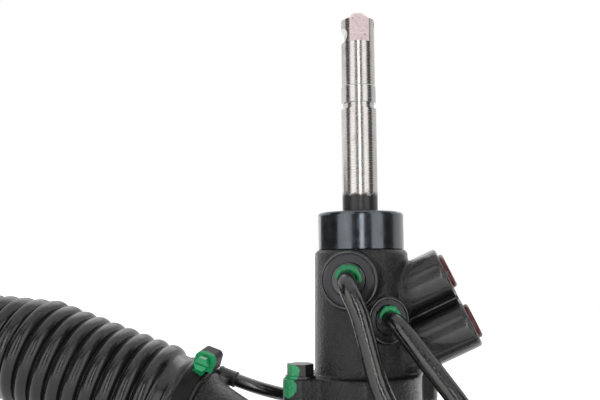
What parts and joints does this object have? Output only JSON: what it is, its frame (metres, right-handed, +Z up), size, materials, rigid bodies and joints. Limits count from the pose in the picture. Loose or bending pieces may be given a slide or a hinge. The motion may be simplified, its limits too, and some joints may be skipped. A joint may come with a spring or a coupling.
{
  "type": "steering rack",
  "caption": "Power-assisted rack-and-pinion steering gear with a leaning valve column, bare input shaft, transfer pipes, boots and tie rods.",
  "frame": {"origin": "in the middle of the left mounting eye, on the line of its bolt", "axes": "+X along the rack towards the hydraulic cylinder, +Z up and square to the rack in the plane that the pinion axis is parallel to, -Y the side with the transfer pipes"},
  "size_m": [1.128, 0.1108, 0.3056],
  "materials": {
    "cast_black": "satin black paint over rough casting",
    "gloss_black": "gloss black paint on smooth turned steel",
    "pipe_black": "semi-gloss black on bent steel tube",
    "bolt_black": "black paint on fasteners",
    "shaft_steel": "bare turned steel, dry",
    "inner_steel": "ground steel",
    "yoke_alloy": "machined",
    "joint_black": "phosphated steel",
    "zinc_steel": "zinc plated",
    "marked_green": "green marking paint",
    "boot_rubber": "moulded black rubber",
    "plug_red": "dark red plastic",
    "liner_plastic": "low-friction plastic"
  },
  "bodies": {
    "housing": {"gear_housing": "cast_black", "valve_housing": "cast_black", "column_cap": "gloss_black", "column_gasket": "liner_plastic", "flange_bolts": "bolt_black", "flange_washers": "bolt_black", "needle_bearing": "inner_steel", "oil_seal": "boot_rubber", "dust_seal": "boot_rubber", "pinion_bush": "inner_steel", "bearing_outer_race": "inner_steel", "bottom_cap": "cast_black", "support_yoke": "yoke_alloy", "yoke_liner": "liner_plastic", "yoke_springs": "inner_steel", "yoke_plug": "cast_black", "yoke_lock_nut": "bolt_black", "cylinder_tube": "gloss_black", "cylinder_port_bosses": "gloss_black", "inner_gland": "inner_steel", "end_bush": "inner_steel", "rack_seals": "boot_rubber", "end_fitting": "cast_black", "transfer_pipe_near": "pipe_black", "transfer_pipe_far": "pipe_black", "tube_nuts": "pipe_black", "hose_port_plugs": "plug_red", "breather_pipe": "pipe_black", "mount_bushes": "boot_rubber", "mount_sleeves": "zinc_steel", "bracket_rubber": "boot_rubber", "tube_bracket": "gloss_black", "boot_left": "boot_rubber", "boot_right": "boot_rubber", "boot_clamp_bands": "bolt_black", "boot_clamp_housings": "bolt_black", "boot_clamp_screws": "marked_green"},
    "rack": {"rack_bar": "inner_steel", "piston": "inner_steel", "piston_ring": "liner_plastic", "piston_snap_rings": "inner_steel", "inner_sockets": "joint_black"},
    "pinion": {"pinion": "inner_steel", "pinion_nut": "inner_steel", "valve_sleeve": "inner_steel", "sleeve_rings": "liner_plastic", "bearing_inner_race": "inner_steel"},
    "ball_train": {"bearing_balls": "inner_steel", "bearing_cage": "inner_steel"},
    "input": {"input_shaft": "shaft_steel", "torsion_bar": "inner_steel", "torsion_pin": "inner_steel"},
    "left_seat": {"ball_seat_left": "liner_plastic"},
    "left_rod": {"tie_rod_left": "joint_black", "jam_nut_left": "zinc_steel", "boot_clip_left": "zinc_steel"},
    "right_seat": {"ball_seat_right": "liner_plastic"},
    "right_rod": {"tie_rod_right": "joint_black", "jam_nut_right": "zinc_steel", "boot_clip_right": "zinc_steel"}
  },
  "joints": [
    {"name": "rack_slide", "type": "slide", "parent": "housing", "child": "rack", "axis": [1, 0, 0], "range_m": [-0.07, 0.07], "deforming": ["boot_left", "boot_right"]},
    {"name": "pinion_spin", "type": "hinge", "parent": "housing", "child": "pinion", "pos_m": [0.05, 0.01746, 0.038], "axis": [-0.3256, 0, 0.9455], "range_deg": [-502, 502]},
    {"name": "ball_train_spin", "type": "hinge", "parent": "housing", "child": "ball_train", "pos_m": [0.05765, 0.01746, 0.01578], "axis": [-0.3256, 0, 0.9455], "range_deg": [-195, 195]},
    {"name": "input_twist", "type": "hinge", "parent": "pinion", "child": "input", "pos_m": [0.03079, 0.01746, 0.09379], "axis": [-0.3256, 0, 0.9455], "range_deg": [-4.5, 4.5], "stiffness_Nm_per_rad": 90},
    {"name": "left_rod_yaw", "type": "hinge", "parent": "rack", "child": "left_seat", "pos_m": [-0.144, 0, 0.038], "axis": [0, 0, 1], "range_deg": [-18, 18]},
    {"name": "left_rod_pitch", "type": "hinge", "parent": "left_seat", "child": "left_rod", "pos_m": [-0.144, 0, 0.038], "axis": [0, 1, 0], "range_deg": [-18, 18]},
    {"name": "right_rod_yaw", "type": "hinge", "parent": "rack", "child": "right_seat", "pos_m": [0.514, 0, 0.038], "axis": [0, 0, 1], "range_deg": [-18, 18]},
    {"name": "right_rod_pitch", "type": "hinge", "parent": "right_seat", "child": "right_rod", "pos_m": [0.514, 0, 0.038], "axis": [0, 1, 0], "range_deg": [-18, 18]}
  ],
  "couplings": [
    {"joint": "pinion_spin", "follows": "rack_slide", "rad_per_m": 125},
    {"joint": "ball_train_spin", "follows": "rack_slide", "rad_per_m": 47.5}
  ]
}
